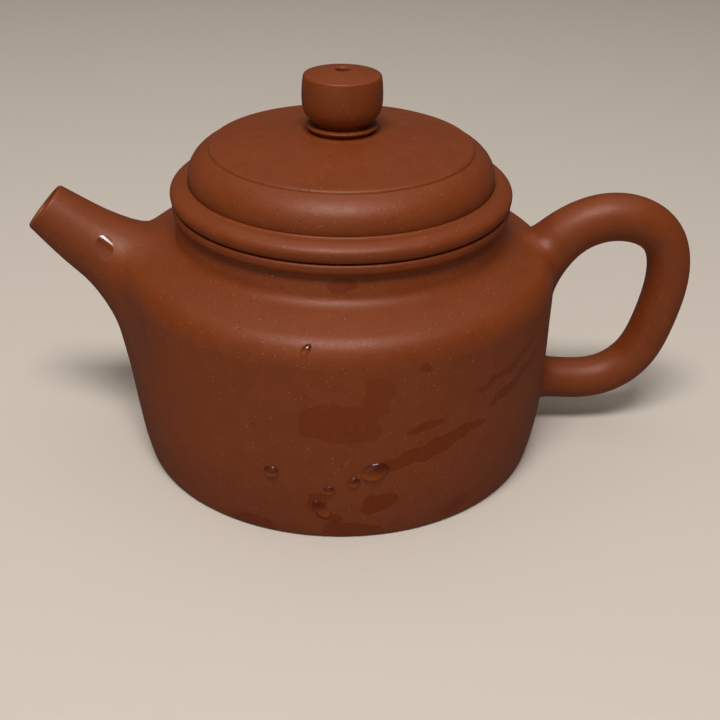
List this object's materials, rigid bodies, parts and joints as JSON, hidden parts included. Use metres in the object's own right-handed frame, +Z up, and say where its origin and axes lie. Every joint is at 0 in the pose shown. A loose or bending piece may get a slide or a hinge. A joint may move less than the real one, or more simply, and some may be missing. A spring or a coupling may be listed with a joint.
{
  "type": "clay teapot",
  "caption": "Small straight-walled unglazed clay teapot with a slanting spout, an ear-shaped loop handle and a lift-off domed lid with a drum-shaped knob.",
  "frame": {"origin": "centre of the flat underside, on the pot's axis, in the plane it stands on", "axes": "+Z up along the pot's axis, spout towards -X, handle towards +X, the profile lies in the XZ plane"},
  "size_m": [0.1368, 0.0882, 0.0795],
  "materials": {
    "clay": "unglazed red stoneware, fine sandy grain with a soft low sheen",
    "lid_clay": "unglazed red stoneware, fine sandy grain with a soft low sheen"
  },
  "bodies": {
    "pot": {"base_disc": "clay", "body_wall": "clay", "shoulder_plate": "clay", "neck_ring": "clay", "mouth_band": "clay", "spout": "clay", "strainer": "clay", "handle": "clay"},
    "lid": {"lid_flange": "lid_clay", "lid_rim_band": "lid_clay", "lid_dome": "lid_clay", "lid_raised_disc": "lid_clay", "knob_collar": "lid_clay", "knob": "lid_clay"}
  },
  "joints": [
    {"name": "lid_lift", "type": "slide", "parent": "pot", "child": "lid", "axis": [0, 0, 1], "range_m": [0, 0.06]}
  ]
}
